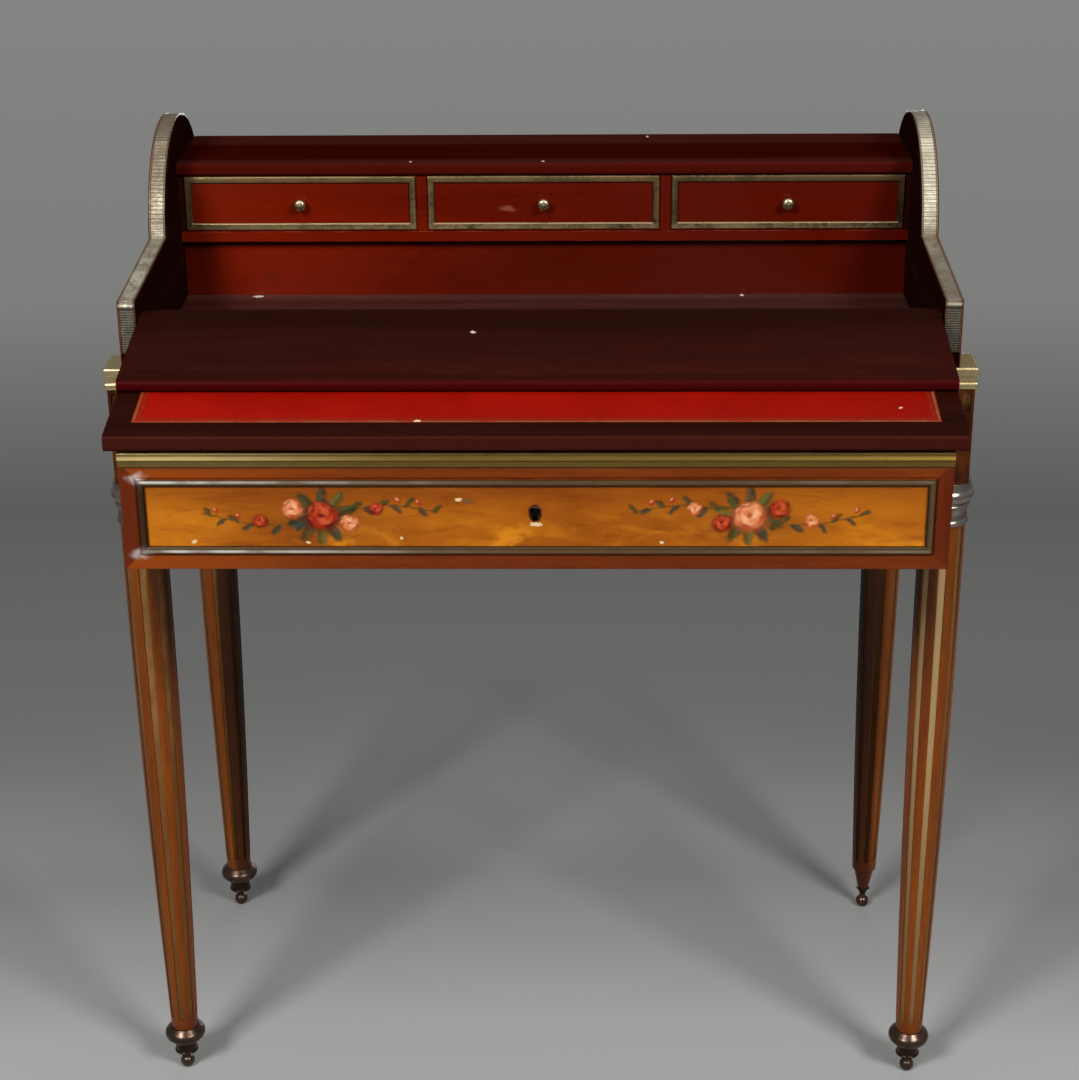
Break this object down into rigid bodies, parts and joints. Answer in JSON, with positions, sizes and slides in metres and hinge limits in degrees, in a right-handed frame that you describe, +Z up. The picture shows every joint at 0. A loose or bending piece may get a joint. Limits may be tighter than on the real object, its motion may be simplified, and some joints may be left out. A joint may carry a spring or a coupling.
{
  "type": "lady's writing desk",
  "caption": "Small writing desk with fluted tapering legs, an open frieze drawer, a pull-out leather-topped board with a folding flap, and a low gallery of small drawers between arched cheeks.",
  "frame": {"origin": "on the floor under the middle of the whole desk as it stands here, drawer and board out", "axes": "+Z up, the drawer side faces -Y, +X to the right of someone who sits at the desk"},
  "size_m": [0.77, 0.53, 0.9045],
  "materials": {
    "mahogany": "french-polished, worn",
    "dark_mahogany": "french-polished, worn",
    "red_mahogany": "french-polished",
    "oak": "bare, darkened",
    "brass": "aged, partly bright",
    "bronze": "dark patina, rubbed high spots",
    "edge_metal": "worn, silvery grey",
    "leather": "smooth, gold-tooled border",
    "painted_panel": "painted flowers on a gilt ground, varnished",
    "iron": "old, dull"
  },
  "bodies": {
    "desk_frame": {"back_panel": "oak", "ball_feet": "bronze", "block_flute_linings": "brass", "cheek_left": "dark_mahogany", "cheek_right": "dark_mahogany", "cheek_strip_left": "edge_metal", "cheek_strip_right": "edge_metal", "compartment_back": "dark_mahogany", "compartment_floor": "oak", "drawer_runner_left": "oak", "drawer_runner_right": "oak", "front_corner_caps": "brass", "front_left_leg": "mahogany", "front_leg_flute_linings": "brass", "front_rail": "mahogany", "front_right_leg": "mahogany", "front_stiles": "mahogany", "leg_collars": "bronze", "leg_sabots": "bronze", "rear_corner_caps": "brass", "rear_left_leg": "mahogany", "rear_leg_flute_linings": "brass", "rear_rail": "oak", "rear_right_ferrule": "bronze", "rear_right_leg": "mahogany", "side_cornices": "brass", "side_rail_left": "mahogany", "side_rail_right": "mahogany", "small_drawer_dividers": "dark_mahogany", "small_drawer_end_stiles": "dark_mahogany", "small_drawer_shelf": "dark_mahogany", "top_board": "dark_mahogany"},
    "frieze_drawer": {"frieze_drawer_front": "mahogany", "painted_panel": "painted_panel", "panel_frame": "brass", "drawer_top_moulding": "brass", "frieze_drawer_side_left": "oak", "frieze_drawer_side_right": "oak", "frieze_drawer_back": "oak", "frieze_drawer_bottom": "oak", "lock_case": "iron"},
    "lock_bolt": {"lock_bolt": "iron"},
    "writing_board": {"writing_board": "dark_mahogany", "leather_panel": "leather", "board_guide_pins": "brass"},
    "flap": {"flap": "dark_mahogany", "flap_pivot_pins": "brass"},
    "small_drawer_left": {"small_drawer_left_front": "red_mahogany", "small_drawer_left_tray": "oak", "small_drawer_left_frame": "brass", "small_drawer_left_knob": "brass"},
    "small_drawer_centre": {"small_drawer_centre_front": "red_mahogany", "small_drawer_centre_tray": "oak", "small_drawer_centre_frame": "brass", "small_drawer_centre_knob": "brass"},
    "small_drawer_right": {"small_drawer_right_front": "red_mahogany", "small_drawer_right_tray": "oak", "small_drawer_right_frame": "brass", "small_drawer_right_knob": "brass"}
  },
  "joints": [
    {"name": "frieze_drawer_slide", "type": "slide", "parent": "desk_frame", "child": "frieze_drawer", "axis": [0, -1, 0], "range_m": [-0.178, 0.055]},
    {"name": "lock_bolt_slide", "type": "slide", "parent": "frieze_drawer", "child": "lock_bolt", "axis": [0, 0, 1], "range_m": [0, 0.007]},
    {"name": "writing_board_slide", "type": "slide", "parent": "desk_frame", "child": "writing_board", "axis": [0, 1, 0], "range_m": [0, 0.178]},
    {"name": "flap_hinge", "type": "hinge", "parent": "desk_frame", "child": "flap", "pos_m": [0, -0.0741, 0.78623], "axis": [-1, 0, 0], "range_deg": [0, 180]},
    {"name": "small_drawer_left_slide", "type": "slide", "parent": "desk_frame", "child": "small_drawer_left", "axis": [0, -1, 0], "range_m": [0, 0.06]},
    {"name": "small_drawer_centre_slide", "type": "slide", "parent": "desk_frame", "child": "small_drawer_centre", "axis": [0, -1, 0], "range_m": [0, 0.06]},
    {"name": "small_drawer_right_slide", "type": "slide", "parent": "desk_frame", "child": "small_drawer_right", "axis": [0, -1, 0], "range_m": [0, 0.06]}
  ]
}
